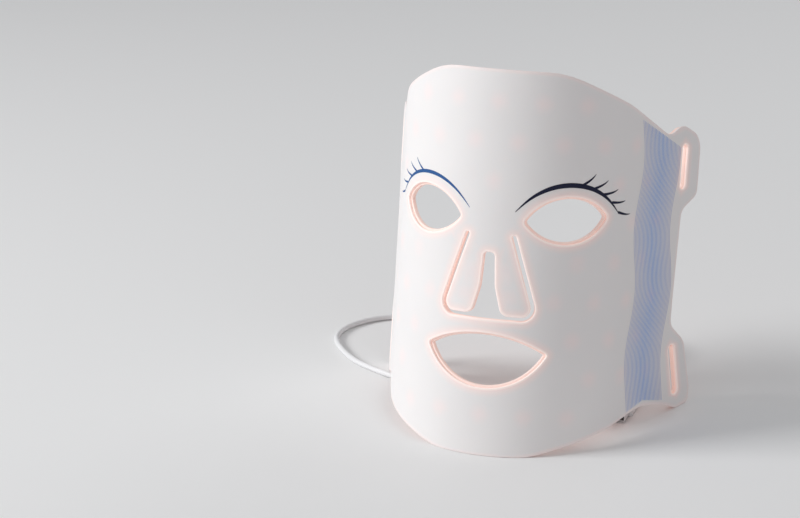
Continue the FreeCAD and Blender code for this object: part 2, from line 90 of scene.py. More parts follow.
# the flat place under a point of the mask
def flatPlace(point):
    x, y, z = point / mm
    upright = (y + middle) * math.cos(lean) - (z + sheet["trim"]) * math.sin(lean)
    t = (y + middle) * math.sin(lean) + (z + sheet["trim"]) * math.cos(lean)
    turn = math.atan2(x, sheet["bendRadius"] - upright)
    last = sheet["arcHalf"] / sheet["bendRadius"]
    if abs(turn) <= last:
        return turn * sheet["bendRadius"], t
    side = math.copysign(1.0, x)
    edge = Vector((math.sin(last), 1 - math.cos(last))) * sheet["bendRadius"]
    along = Vector((math.cos(last), math.sin(last)))
    return side * (sheet["arcHalf"] + (Vector((abs(x), upright)) - edge).dot(along)), t


# height above the chin at which the leant sheet touches the surface it stands on
def restHeight(s):
    held = min(sheet["arcHalf"], s)
    turn = held / sheet["bendRadius"]
    upright = sheet["bendRadius"] * (1 - math.cos(turn)) + (s - held) * math.sin(turn)
    return upright * math.tan(lean)


# an arc of vertices from start to end, anticlockwise where side is 1
def addArc(bm, centre, start, end, side, steps):
    turn = (start - centre).angle(end - centre)
    vert = bm.verts.new(start)
    bmesh.ops.spin(bm, geom=[vert], cent=centre, axis=(0, 0, side), angle=turn, steps=steps)


# a closed loop through corners (s, t, radius), anticlockwise, moved inwards by inset
def cornerLoop(corners, inset=0.0):
    bm = bmesh.new()
    places = [Vector((s, t, 0)) for s, t, radius in corners]
    for index, (s, t, radius) in enumerate(corners):
        corner = places[index]
        before = (places[index - 1] - corner).normalized()
        after = (places[(index + 1) % len(places)] - corner).normalized()
        half = before.angle(after) / 2
        side = 1 if after.cross(before).z > 0 else -1
        centre = corner + (before + after).normalized() * (radius / math.sin(half))
        reach = radius / math.tan(half)
        scale = (radius - side * inset) / radius
        start = centre + (corner + before * reach - centre) * scale
        end = centre + (corner + after * reach - centre) * scale
        steps = math.ceil((math.pi - 2 * half) / math.radians(sheet["turnStep"]))
        addArc(bm, centre, start, end, side, max(2, steps))
    loop = [vert.co.xy for vert in bm.verts]
    bm.free()
    return loop


# the corners of the right half, then those of the left half
def withMirror(corners):
    return corners + [(-s, t, radius) for s, t, radius in reversed(corners)]


# the middle and the radius of the circle through three points
def circleThrough(a, b, c):
    d = 2 * (a.x * (b.y - c.y) + b.x * (c.y - a.y) + c.x * (a.y - b.y))
    sizes = [point.length_squared for point in (a, b, c)]
    x = (sizes[0] * (b.y - c.y) + sizes[1] * (c.y - a.y) + sizes[2] * (a.y - b.y)) / d
    y = (sizes[0] * (c.x - b.x) + sizes[1] * (a.x - c.x) + sizes[2] * (b.x - a.x)) / d
    centre = Vector((x, y, 0))
    return centre, (a - centre).length


# the loop between an upper and a lower arc, its tips rounded, moved inwards by inset
def almondLoop(shape, inset):
    left, right, top, bottom = (Vector((*shape[key], 0)) for key in ("left", "right", "top", "bottom"))
    tipRound = shape["tipRound"]
    high, highRadius = circleThrough(left, top, right)
    low, lowRadius = circleThrough(left, bottom, right)
    span = (low - high).length
    reach = (span**2 + (highRadius - tipRound) ** 2 - (lowRadius - tipRound) ** 2) / (2 * span)
    rise = math.sqrt((highRadius - tipRound) ** 2 - reach**2)
    along = (low - high).normalized()
    across = Vector((-along.y, along.x, 0))
    tips = sorted((high + along * reach + across * side * rise for side in (1, -1)), key=lambda tip: tip.x)
    highEnds = [high + (tip - high).normalized() * (highRadius - inset) for tip in tips]
    lowEnds = [low + (tip - low).normalized() * (lowRadius - inset) for tip in tips]
    bm = bmesh.new()
    addArc(bm, high, highEnds[0], highEnds[1], -1, sheet["arcSteps"])
    addArc(bm, tips[1], highEnds[1], lowEnds[1], -1, sheet["tipSteps"])
    addArc(bm, low, lowEnds[1], lowEnds[0], -1, sheet["arcSteps"])
    addArc(bm, tips[0], lowEnds[0], highEnds[0], -1, sheet["tipSteps"])
    bmesh.ops.remove_doubles(bm, verts=bm.verts, dist=0.01)
    loop = [vert.co.xy for vert in bm.verts]
    bm.free()
    return loop


outline = {
    "top": 216.5,
    "browFlat": 36.0,
    "brow": (80.0, 199.8),
    "temple": (121.5, 180.3),
    "waist": 136.5,
    "waistTop": 84.0,
    "waistFoot": 69.5,
    "tabReach": 17.8,
    "tabMiddle": 165.4,
    "tabHalf": 20.9,
    "tabNeck": 2.0,
    "tabShoulder": 7.8,
    "tabHeel": (2.3, 8.2),
    "footReach": 25.3,
    "footShoulder": (9.8, 59.0),
    "footRise": 9.5,
    "footWidth": 12.5,
    "footSlope": 13.0,
    "jaw": (110.0, 25.5),
    "jawEnd": 22.0,
    "chinFlat": 24.0,
}
# how round each corner of the outline is, from the top down
rounds = {
    "top": 60.0,
    "brow": 60.0,
    "temple": 10.0,
    "tabNeck": 12.0,
    "tabShoulder": 13.0,
    "tabFoot": 6.0,
    "tabHeel": 7.0,
    "waistTop": 120.0,
    "waistFoot": 7.0,
    "footShoulder": 12.0,
    "footRise": 5.0,
    "footSide": 5.5,
    "footStart": 5.0,
    "jawEnd": 9.0,
    "jaw": 45.0,
    "chin": 60.0,
}


# the outer edge of a sheet
def bodyLoop(inset):
    waist = outline["waist"]
    tabSide = waist + outline["tabReach"]
    crown = outline["tabMiddle"] + outline["tabHalf"]
    tabFoot = outline["tabMiddle"] - outline["tabHalf"]
    footSide = waist + outline["footReach"]
    footStart = footSide - outline["footWidth"]
    heelIn, heelDrop = outline["tabHeel"]
    shoulderIn, shoulder = outline["footShoulder"]
    half = [
        (outline["browFlat"], outline["top"], rounds["top"]),
        (*outline["brow"], rounds["brow"]),
        (*outline["temple"], rounds["temple"]),
        (waist - outline["tabNeck"], crown, rounds["tabNeck"]),
        (tabSide, crown - outline["tabShoulder"], rounds["tabShoulder"]),
        (tabSide, tabFoot, rounds["tabFoot"]),
        (waist + heelIn, tabFoot - heelDrop, rounds["tabHeel"]),
        (waist, outline["waistTop"], rounds["waistTop"]),
        (waist, outline["waistFoot"], rounds["waistFoot"]),
        (footSide - shoulderIn, shoulder, rounds["footShoulder"]),
        (footSide, restHeight(footSide) + outline["footRise"], rounds["footRise"]),
        (footSide, restHeight(footSide), rounds["footSide"]),
        (footStart, restHeight(footStart), rounds["footStart"]),
        (footStart - outline["footSlope"], outline["jawEnd"], rounds["jawEnd"]),
        (*outline["jaw"], rounds["jaw"]),
        (outline["chinFlat"], 0.0, rounds["chin"]),
    ]
    return cornerLoop(withMirror(half)[::-1], inset)


eye = {
    "left": (18.0, 133.5),
    "right": (68.0, 137.5),
    "top": (43.0, 148.5),
    "bottom": (43.0, 122.0),
    "tipRound": 3.0,
}
mouth = {
    "left": (-36.0, 60.0),
    "right": (36.0, 60.0),
    "top": (0.0, 70.0),
    "bottom": (0.0, 39.0),
    "tipRound": 1.6,
}
# each slot's middle, half length and tilt in degrees
strapSlots = {"half": 3.0, "places": [(138.0, 161.8, 13.0, 0.0), (142.5, 42.5, 15.5, 15.0)]}
nose = {
    "hinge": 112.0,
    "slotTop": 115.5,
    "slotHalf": 3.3,
    "slitTop": 125.5,
    "slitSide": 12.0,
    "slitWidth": 2.5,
    "base": 78.0,
    "side": 28.0,
    "gap": 2.3,
    "flare": 5.4,
    "flareStart": (1.0, 16.0),
    "topRound": 2.6,
    "hingeRound": 10.0,
    "flareRound": 16.0,
    "tipRound": 5.3,
    "slitRound": 1.0,
    "baseRound": 7.5,
    "split": 113.5,
    "seed": (12.0, 95.0),
    "seedReach": 3.0,
    "blendSide": 11.0,
    "blendStart": 113.2,
    "blendEnd": 108.5,
}


def reflected(loop):
    return [Vector((-point.x, point.y)) for point in loop]


# the outer side of a lobe
def lobeEdge(t):
    slope = (nose["side"] - nose["slitSide"]) / (nose["slitTop"] - nose["base"])
    return nose["slitSide"] + slope * (nose["slitTop"] - t)


# one opening parts both lobes from the sheet: the slot between them, the gap below and two slits
def noseLoop():
    base = nose["base"] + nose["gap"]
    half = nose["slotHalf"]
    flareSide, flareRise = nose["flareStart"]
    right = [
        (half, nose["slotTop"], nose["topRound"]),
        (half, nose["hinge"], nose["hingeRound"]),
        (half + flareSide, base + flareRise, nose["flareRound"]),
        (half + nose["flare"], base, nose["tipRound"]),
        (lobeEdge(base), base, nose["tipRound"]),
        (lobeEdge(nose["slitTop"]), nose["slitTop"], nose["slitRound"]),
        (lobeEdge(nose["slitTop"]) + nose["slitWidth"], nose["slitTop"], nose["slitRound"]),
        (lobeEdge(nose["base"]) + nose["slitWidth"], nose["base"], nose["baseRound"]),
    ]
    return cornerLoop(withMirror(right)[::-1])


# the strap slots of both sides
def slotLoops():
    loops = []
    half = strapSlots["half"]
    for s, t, long, tilt in strapSlots["places"]:
        corners = [(half, -long), (half, long), (-half, long), (-half, -long)]
        turn = Matrix.Rotation(math.radians(tilt), 2)
        loop = cornerLoop([(*corner, half - 0.01) for corner in corners])
        loop = [turn @ point + Vector((s, t)) for point in loop]
        loops += [loop, reflected(loop)]
    return loops


# a flat plate between two heights with rounded rims, in millimetres
def flatPlate(loops, low, high):
    curve = bpy.data.curves.new("outline", "CURVE")
    curve.dimensions = "2D"
    curve.fill_mode = "BOTH"
    curve.extrude = (high - low) / 2 - sheet["rimRound"]
    curve.bevel_depth = sheet["rimRound"]
    curve.bevel_resolution = sheet["rimSteps"]
    curve.offset = -sheet["rimRound"]
    for loop in loops:
        spline = curve.splines.new("POLY")
        spline.points.add(len(loop) - 1)
        for place, point in zip(spline.points, loop):
            place.co = (*point, 0, 1)
        spline.use_cyclic_u = True
    holder = bpy.data.objects.new("outline", curve)
    mesh = bpy.data.meshes.new_from_object(holder)
    bpy.data.objects.remove(holder)
    bm = bmesh.new()
    bm.from_mesh(mesh)
    bpy.data.meshes.remove(mesh)
    bmesh.ops.remove_doubles(bm, verts=bm.verts, dist=0.002)
    bmesh.ops.recalc_face_normals(bm, faces=bm.faces)
    bmesh.ops.translate(bm, verts=bm.verts, vec=(0, 0, (low + high) / 2))
    return bm


def cutAlong(bm, place, normal):
    everything = bm.verts[:] + bm.edges[:] + bm.faces[:]
    bmesh.ops.bisect_plane(bm, geom=everything, dist=0.001, plane_co=place, plane_no=normal)


# the rims alone, either the outer one or those of the openings
def rimTree(bm, outer):
    walls = bm.copy()
    caps = [face for face in walls.faces if abs(face.normal.z) > 0.99]
    bmesh.ops.delete(walls, geom=caps, context="FACES")
    outside = set()
    front = [max(walls.verts, key=lambda vert: vert.co.x)]
    while front:
        vert = front.pop()
        if vert not in outside:
            outside.add(vert)
            front += [edge.other_vert(vert) for edge in vert.link_edges]
    other = [vert for vert in walls.verts if (vert in outside) != outer]
    bmesh.ops.delete(walls, geom=other, context="VERTS")
    tree = BVHTree.FromBMesh(walls)
    walls.free()
    return tree


# columns and rows of edges, so that the plate bends and carries its distances
def cutGrid(bm, emitters):
    bm.normal_update()
    rims = {"fromEdge": rimTree(bm, True), "fromOpening": rimTree(bm, False)}
    cutAlong(bm, (0, nose["split"], 0), (0, 1, 0))
    onArc = math.ceil(sheet["arcHalf"] / sheet["columnStep"])
    columns = [index * sheet["columnStep"] for index in range(onArc)]
    columns += [sheet["arcHalf"] + index * sheet["flankStep"] for index in range(sheet["flankColumns"])]
    for column in columns:
        cutAlong(bm, (column, 0, 0), (1, 0, 0))
        if column:
            cutAlong(bm, (-column, 0, 0), (1, 0, 0))
    for index in range(1, math.ceil(outline["top"] / sheet["rowStep"])):
        cutAlong(bm, (0, index * sheet["rowStep"], 0), (0, 1, 0))
    for name, tree in rims.items():
        layer = bm.verts.layers.float.new(name)
        for vert in bm.verts:
            vert[layer] = tree.find_nearest(vert.co)[3]
    layer = bm.verts.layers.float.new("fromEmitter")
    tree = KDTree(len(emitters))
    for index, place in enumerate(emitters):
        tree.insert((*place, 0.0), index)
    tree.balance()
    for vert in bm.verts:
        vert[layer] = tree.find((vert.co.x, vert.co.y, 0.0))[2]


# the two nose lobes leave the sheet along a line just above their hinges
def markLobes(bm):
    part = bm.faces.layers.int.new("part")
    for number, side in ((1, 1), (2, -1)):
        seed = Vector((side * nose["seed"][0], nose["seed"][1]))
        front = [
            face for face in bm.faces if (face.calc_center_median().xy - seed).length < nose["seedReach"]
        ]
        while front:
            face = front.pop()
            if face[part] or face.calc_center_median().y > nose["split"]:
                continue
            face[part] = number
            front += [other for edge in face.edges for other in edge.link_faces]


# a copy of the faces marked with number, closed where it was parted
def takePart(bm, number):
    copy = bm.copy()
    part = copy.faces.layers.int["part"]
    bmesh.ops.delete(copy, geom=[face for face in copy.faces if face[part] != number], context="FACES")
    rims = [edge for edge in copy.edges if edge.is_boundary]
    bmesh.ops.holes_fill(copy, edges=rims, sides=0)
    for edge in rims:
        edge.smooth = False
    return copy


# a flat form laid on the mask
def bend(bm):
    for vert in bm.verts:
        vert.co = onMask(*vert.co)


def addPiece(name, bm, material, body="mask", nodes=()):
    mesh = bpy.data.meshes.new(name)
    bm.to_mesh(mesh)
    bm.free()
    for polygon in mesh.polygons:
        polygon.use_smooth = True
    mesh.materials.append(material)
    piece = bpy.data.objects.new(name, mesh)
    bpy.context.scene.collection.objects.link(piece)
    if body:
        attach(piece, body)
    if nodes:
        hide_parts(*nodes)
    return piece


def evenShading(piece):
    shading = piece.modifiers.new("shading", "WEIGHTED_NORMAL")
    shading.mode = "FACE_AREA"
    shading.weight = 100
    shading.keep_sharp = True


def makeSheet(layer, loops, low, high, material, node, emitters):
    bm = flatPlate(loops, low, high)
    cutGrid(bm, emitters)
    markLobes(bm)
    parts = [takePart(bm, number) for number in (0, 1, 2)]
    bm.free()
    for part in parts:
        bend(part)
    pieces = [addPiece(f"{layer}Sheet", parts[0], material, "mask", [node])]
    for side, part in (("right", parts[1]), ("left", parts[2])):
        body = f"nose_lobe_{side}"
        lobe = addPiece(f"{side}Lobe{layer.title()}", part, material, None, [f"{body}_{layer}"])
        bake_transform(lobe)
        pieces.append(lobe)
    for piece in pieces:
        evenShading(piece)
    print(layer, "sheet and lobes:", [len(piece.data.polygons) for piece in pieces])


def newGroup(name, inputs, outputs):
    group = bpy.data.node_groups.new(name, "ShaderNodeTree")
    for label, value in inputs:
        socket = group.interface.new_socket(label, in_out="INPUT", socket_type="NodeSocketFloat")
        socket.default_value = value
    for label in outputs:
        group.interface.new_socket(label, in_out="OUTPUT", socket_type="NodeSocketFloat")
    return group, group.nodes.new("NodeGroupInput"), group.nodes.new("NodeGroupOutput")


def addNode(tree, kind, values=(), **settings):
    node = tree.nodes.new(kind)
    for key, value in settings.items():
        setattr(node, key, value)
    for key, value in values:
        node.inputs[key].default_value = value
    return node


grainLook = {
    "detail": 3.0,
    "roughness": 0.6,
    "broadScale": 22.0,
    "broadDetail": 2.0,
    "spread": (0.35, 0.65),
    "depth": 0.0002,
}


# fine grain of a moulded surface: slow shade changes, roughness between Low and High, a height
def buildMouldGrain():
    group, source, result = newGroup(
        "mouldGrain", [("Scale", 900.0), ("Low", 0.4), ("High", 0.5)], ["Shade", "Roughness", "Height"]
    )
    link = group.links.new
    place = addNode(group, "ShaderNodeTexCoord")
    fineValues = [("Detail", grainLook["detail"]), ("Roughness", grainLook["roughness"])]
    fine = addNode(group, "ShaderNodeTexNoise", fineValues)
    broadValues = [("Scale", grainLook["broadScale"]), ("Detail", grainLook["broadDetail"])]
    broad = addNode(group, "ShaderNodeTexNoise", broadValues)
    low, high = grainLook["spread"]
    spread = addNode(group, "ShaderNodeMapRange", [("From Min", low), ("From Max", high)])
    link(place.outputs["Object"], fine.inputs["Vector"])
    link(place.outputs["Object"], broad.inputs["Vector"])
    link(source.outputs["Scale"], fine.inputs["Scale"])
    link(broad.outputs["Fac"], result.inputs["Shade"])
    link(broad.outputs["Fac"], spread.inputs["Value"])
    link(source.outputs["Low"], spread.inputs["To Min"])
    link(source.outputs["High"], spread.inputs["To Max"])
    link(spread.outputs["Result"], result.inputs["Roughness"])
    link(fine.outputs["Fac"], result.inputs["Height"])
    return group


mouldGrain = buildMouldGrain()


def placeGroup(tree, group, **values):
    return addNode(tree, "ShaderNodeGroup", values.items(), node_tree=group)


def newMaterial(name, values):
    material = bpy.data.materials.new(name)
    material.use_nodes = True
    shader = material.node_tree.nodes["Principled BSDF"]
    for key, value in values.items():
        shader.inputs[key].default_value = value
    return material, material.node_tree, shader


def addBump(tree, shader, height, strength):
    bump = addNode(tree, "ShaderNodeBump", [("Strength", strength), ("Distance", grainLook["depth"])])
    tree.links.new(height, bump.inputs["Height"])
    tree.links.new(bump.outputs["Normal"], shader.inputs["Normal"])


# a colour between low and high, each a tuple or another node's socket
def mixColours(tree, factor, low, high):
    mix = addNode(tree, "ShaderNodeMix", data_type="RGBA")
    for socket, colour in ((6, low), (7, high)):
        if isinstance(colour, tuple):
            mix.inputs[socket].default_value = (*colour, 1)
        else:
            tree.links.new(colour, mix.inputs[socket])
    tree.links.new(factor, mix.inputs[0])
    return mix.outputs[2]


# a share that falls from one at a distance of nothing to zero at reach
def nearness(tree, attribute, reach):
    distance = addNode(tree, "ShaderNodeAttribute", attribute_name=attribute)
    near = addNode(tree, "ShaderNodeMapRange", [("From Max", reach), ("To Min", 1.0), ("To Max", 0.0)])
    near.interpolation_type = "SMOOTHSTEP"
    tree.links.new(distance.outputs["Fac"], near.inputs["Value"])
    return near.outputs[0]


def multiply(tree, value, share):
    node = addNode(tree, "ShaderNodeMath", [(1, share)], operation="MULTIPLY")
    tree.links.new(value, node.inputs[0])
    return node.outputs[0]


# what both sheets' silicone has in common
silicone = {
    "radius": (1.0, 0.75, 0.65),
    "scale": 0.0025,
    "specular": 0.4,
    "grain": 1400.0,
    "spread": 0.08,
    # how much of each painted glow tint is mixed into the base colour
    "glowTintShare": 0.6,
    "bump": 0.12,
}


# silicone with a painted glow: the inner light is painted on as emission and as a pinkish tint of the base
# colour at its rims and faintly over the emitters
def makeSilicone(name, look):
    values = {
        "Subsurface Weight": look["depth"],
        "Subsurface Radius": silicone["radius"],
        "Subsurface Scale": silicone["scale"],
        "Specular IOR Level": silicone["specular"],
        "Emission Strength": 1.0,
    }
    material, tree, shader = newMaterial(name, values)
    smooth = look["roughness"]
    grain = placeGroup(
        tree, mouldGrain, Scale=silicone["grain"], Low=smooth, High=smooth + silicone["spread"]
    )
    colour = mixColours(tree, grain.outputs["Shade"], look["shade"], look["base"])
    light = look["inner"]
    # painted glow: near each rim or emitter a pink tint is mixed into the base colour and light is emitted
    for attribute, reach, tint, glow in look["glows"]:
        near = nearness(tree, attribute, reach)
        colour = mixColours(tree, multiply(tree, near, silicone["glowTintShare"]), colour, tint)
        light = mixColours(tree, near, light, glow)
    tree.links.new(colour, shader.inputs["Base Color"])
    tree.links.new(light, shader.inputs["Emission Color"])
    tree.links.new(grain.outputs["Roughness"], shader.inputs["Roughness"])
    addBump(tree, shader, grain.outputs["Height"], silicone["bump"])
    return material


# each painted glow is an attribute, its reach in millimetres, the tint it paints into the base colour and
# the light it emits
coverLook = {
    "base": (0.86, 0.85, 0.845),
    "shade": (0.82, 0.81, 0.81),
    # inner is a faint painted glow emitted over the whole sheet
    "inner": (0.016, 0.003, 0.002),
    "depth": 0.1,
    "roughness": 0.42,
    "glows": [
        ("fromEmitter", 8.0, (0.88, 0.81, 0.80), (0.042, 0.008, 0.007)),
        ("fromEdge", 2.2, (0.90, 0.80, 0.78), (0.04, 0.016, 0.014)),
        ("fromOpening", 5.5, (0.92, 0.78, 0.74), (0.075, 0.024, 0.018)),
        ("fromOpening", 1.2, (0.95, 0.84, 0.80), (0.18, 0.11, 0.095)),
    ],
}
linerLook = {
    "base": (0.86, 0.76, 0.72),
    "shade": (0.82, 0.71, 0.67),
    # inner is a faint painted glow emitted over the whole sheet
    "inner": (0.04, 0.008, 0.006),
    "depth": 0.15,
    "roughness": 0.38,
    # painted glows at the emitters, the outer edge and the openings, each a tint in the base colour and
    # emitted light
    "glows": [
        ("fromEmitter", 10.0, (0.95, 0.55, 0.48), (0.16, 0.045, 0.035)),
        ("fromEdge", 3.0, (0.93, 0.70, 0.62), (0.10, 0.04, 0.03)),
        ("fromOpening", 3.0, (0.95, 0.80, 0.74), (0.17, 0.085, 0.068)),
    ],
}
coverSilicone = makeSilicone("coverSilicone", coverLook)
linerSilicone = makeSilicone("linerSilicone", linerLook)

finishLook = {"grain": 1200.0, "spread": 0.1, "bump": 0.15}


# a plain moulded, drawn or laminated finish
def makeFinish(name, base, shade, roughness, metallic=0.0):
    material, tree, shader = newMaterial(name, {"Metallic": metallic})
    grain = placeGroup(
        tree, mouldGrain, Scale=finishLook["grain"], Low=roughness, High=roughness + finishLook["spread"]
    )
    tree.links.new(mixColours(tree, grain.outputs["Shade"], shade, base), shader.inputs["Base Color"])
    tree.links.new(grain.outputs["Roughness"], shader.inputs["Roughness"])
    addBump(tree, shader, grain.outputs["Height"], finishLook["bump"])
    return material


housingPlastic = makeFinish("housingPlastic", (0.84, 0.84, 0.84), (0.78, 0.78, 0.79), 0.35)
cordJacket = makeFinish("cordJacket", (0.86, 0.86, 0.87), (0.79, 0.79, 0.8), 0.4)
circuitFilm = makeFinish("circuitFilm", (0.8, 0.55, 0.25), (0.7, 0.45, 0.2), 0.35)
boardLaminate = makeFinish("boardLaminate", (0.05, 0.28, 0.14), (0.04, 0.2, 0.1), 0.4)
chipPlastic = makeFinish("chipPlastic", (0.05, 0.05, 0.055), (0.03, 0.03, 0.03), 0.45)
contactMetal = makeFinish("contactMetal", (0.83, 0.64, 0.3), (0.75, 0.55, 0.25), 0.22, 1.0)
shellSteel = makeFinish("shellSteel", (0.82, 0.82, 0.83), (0.74, 0.74, 0.75), 0.3, 1.0)
emitterPlastic = makeFinish("emitterPlastic", (0.95, 0.85, 0.55), (0.9, 0.75, 0.4), 0.2)
print("finishes ready")

# the cord's own line: the free run, seven turns of the wound length and the tail to the plug
cord = {
    "radius": 1.7,
    "start": [(-71.704, 11.063, 10.423), (-76.038, 21.631, 2.328)],
    "route": [(-90, 28.5), (-118, 44), (-146, 84), (-124, 127), (-76, 129), (-24, 135), (26, 134.1)],
    "centre": (38.0, 112.0),
    "columns": (22.1, 18.7, 15.3),
    "layers": (1.7, 5.15, 8.6),
    "winding": [(0, 0), (1, 0), (2, 0), (2, 1), (1, 1), (0, 1), (0, 2)],
    "perTurn": 16,
    "tail": [(60.1, 96, 7.4), (61.2, 80, 4.6), (61, 62, 4.0), (61, 47, 4.0)],
    "length": 1.25,
    "aroundSteps": 3,
    "alongSteps": 6,
    "plug": ["plug_body", "plug_shell", "plug_tongue", "plug_contacts", "plug_boot"],
}


# control points of the turns, each column and layer reached over the turn's last third
def woundPoints():
    points = []
    count = cord["perTurn"]
    last = len(cord["winding"]) - 1
    centreX, centreY = cord["centre"]
    for index in range((last + 1) * count + count // 4 + 1):
        turn, step = divmod(index, count)
        turn = min(turn, last)
        column, layer = cord["winding"][turn]
        laterColumn, laterLayer = cord["winding"][min(turn + 1, last)]
        share = max(0.0, (step - count * 2 / 3) / (count / 3)) if turn < last else 0.0
        radius = cord["columns"][column] * (1 - share) + cord["columns"][laterColumn] * share
        height = cord["layers"][layer] * (1 - share) + cord["layers"][laterLayer] * share
        angle = math.radians(90) - 2 * math.pi * index / count
        spread = radius / math.cos(math.pi / count) ** 0.5
        points.append((centreX + spread * math.cos(angle), centreY + spread * math.sin(angle), height))
    return points


def makeCord():
    freeRun = [(x, y, cord["radius"]) for x, y in cord["route"]]
    route = cord["start"] + freeRun + woundPoints() + cord["tail"]
    curve = bpy.data.curves.new("supplyCord", "CURVE")
    curve.dimensions = "3D"
    curve.bevel_depth = cord["radius"] * mm
    curve.bevel_resolution = cord["aroundSteps"]
    curve.use_fill_caps = True
    spline = curve.splines.new("NURBS")
    spline.points.add(len(route) - 1)
    for place, point in zip(spline.points, route):
        place.co = (*(Vector(point) * mm), 1)
    spline.order_u = 3
    spline.use_endpoint_u = True
    spline.resolution_u = cord["alongSteps"]
    curve.materials.append(cordJacket)
    piece = bpy.data.objects.new("supplyCord", curve)
    bpy.context.scene.collection.objects.link(piece)
    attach(piece, "mask")
    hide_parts("cord_tube", "cord_coil", "cord_tail")


makeCord()
print("cord laid")


# middles of the emitter packages in one node, as flat places
def emitterPlaces(name):
    bm = bmesh.new()
    bm.from_mesh(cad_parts[name].data)
    bmesh.ops.remove_doubles(bm, verts=bm.verts, dist=0.00001)
    places = []
    left = set(bm.verts)
    for first in bm.verts:
        if first not in left:
            continue
        left.discard(first)
        front, island = [first], []
        while front:
            vert = front.pop()
            island.append(vert.co.copy())
            near = [edge.other_vert(vert) for edge in vert.link_edges]
            near = [other for other in near if other in left]
            left.difference_update(near)
            front += near
        places.append(Vector(flatPlace(sum(island, Vector()) / len(island))))
    bm.free()
    return places


rowNames = [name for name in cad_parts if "_row_" in name]
maskEmitters = [place for name in rowNames for place in emitterPlaces(name)]
lobeEmitters = {side: emitterPlaces(f"nose_lobe_{side}_emitters") for side in ("right", "left")}
allEmitters = maskEmitters + lobeEmitters["right"] + lobeEmitters["left"]
print("emitters found:", len(maskEmitters), "and", len(allEmitters) - len(maskEmitters), "on the lobes")


# the outer edge and all openings of one sheet
def sheetLoops(inset, lip):
    eyeLoop = almondLoop(eye, lip)
    openings = [eyeLoop, reflected(eyeLoop), almondLoop(mouth, lip), noseLoop()]
    return [bodyLoop(inset)] + openings + slotLoops()


coverLoops = sheetLoops(0.0, 0.0)
makeSheet(
    "cover", coverLoops, -sheet["cover"], 0, coverSilicone, "front_cover", allEmitters
)
linerLoops = sheetLoops(sheet["linerInset"], sheet["lip"])
makeSheet(
    "liner",
    linerLoops,
    -sheet["whole"],
    -sheet["cover"],
    linerSilicone,
    "inner_liner",
    allEmitters,
)

# a clear bump over each emitter on the face side, lit from under
lensDome = {"base": 3.3, "top": 1.9, "height": 0.9, "sink": 0.15, "round": 0.55, "sides": 20}
lensLook = {
    "specular": 0.5,
    "glow": 0.9,
    "depth": 0.2,
    "grain": 1600.0,
    "roughness": (0.16, 0.26),
    "deep": (0.98, 0.46, 0.36),
    "pale": (1.0, 0.6, 0.5),
    "bump": 0.08,
}


def makeLens():
    values = {
        "Specular IOR Level": lensLook["specular"],
        "Emission Strength": lensLook["glow"],
        "Subsurface Weight": lensLook["depth"],
    }
    material, tree, shader = newMaterial("lensSilicone", values)
    low, high = lensLook["roughness"]
    grain = placeGroup(tree, mouldGrain, Scale=lensLook["grain"], Low=low, High=high)
    tint = mixColours(tree, grain.outputs["Shade"], lensLook["deep"], lensLook["pale"])
    tree.links.new(tint, shader.inputs["Base Color"])
    tree.links.new(tint, shader.inputs["Emission Color"])
    tree.links.new(grain.outputs["Roughness"], shader.inputs["Roughness"])
    addBump(tree, shader, grain.outputs["Height"], lensLook["bump"])
    return material


lensSilicone = makeLens()


def makeDomes(name, places, body):
    bm = bmesh.new()
    tall = lensDome["height"] + lensDome["sink"]
    for s, t in places:
        ends = bmesh.ops.create_cone(
            bm,
            cap_ends=True,
            segments=lensDome["sides"],
            radius1=lensDome["top"],
            radius2=lensDome["base"],
            depth=tall,
            matrix=Matrix.Translation((s, t, -sheet["whole"] + lensDome["sink"] - tall / 2)),
        )["verts"]
        low = min(vert.co.z for vert in ends) + 0.01
        crown = [
            edge
            for vert in ends
            for edge in vert.link_edges
            if edge.verts[0] == vert and all(end.co.z < low for end in edge.verts)
        ]
        bmesh.ops.bevel(
            bm,
            geom=crown,
            offset=lensDome["round"],
            segments=3,
            affect="EDGES",
            profile=0.5,
            material=-1,
        )
    bend(bm)
    piece = addPiece(name, bm, lensSilicone, body)
    evenShading(piece)


makeDomes("maskLenses", maskEmitters, "mask")
for side, places in lobeEmitters.items():
    makeDomes(f"{side}LobeLenses", places, f"nose_lobe_{side}")
print("lens bumps ready")

# plain waves side by side down the right flank, from its first line inwards
waves = {
    "lines": 28,
    "first": 130.0,
    "pitch": 1.35,
    "swing": 3.0,
    "length": 74.0,
    "places": 18,
    "halfWidth": 0.24,
    "margin": 2.8,
    "lift": 0.05,
    "deep": (0.0, 0.28, 0.88),
    "pale": (0.50, 0.54, 0.78),
}
# a lid line round the eye's upper arc with lashes set evenly along its outer part; lid, first, last
# and lean are in degrees, and the taper gives a lash's half width along its length
lashes = {
    "gap": 7.0,
    "lid": (146.0, 34.0),
    "lidHalf": 1.4,
    "lidEnd": 0.1,
    "lidPlaces": 9,
    "first": 82.0,
    "last": 36.0,
    "count": 5,
    "length": 8.0,
    "lean": 18.0,
    "lashHalf": 0.75,
    "taper": [(0.0, 1.0), (0.4, 0.9), (0.75, 0.55), (1.0, 0.15)],
    "lift": 0.06,
    "right": (0.006, 0.008, 0.035),
    "left": (0.015, 0.09, 0.28),
    "leftShare": 0.75,
}
inkLook = {"specular": 0.3, "grain": 2200.0, "roughness": (0.45, 0.58), "bump": 0.1, "steps": 28}


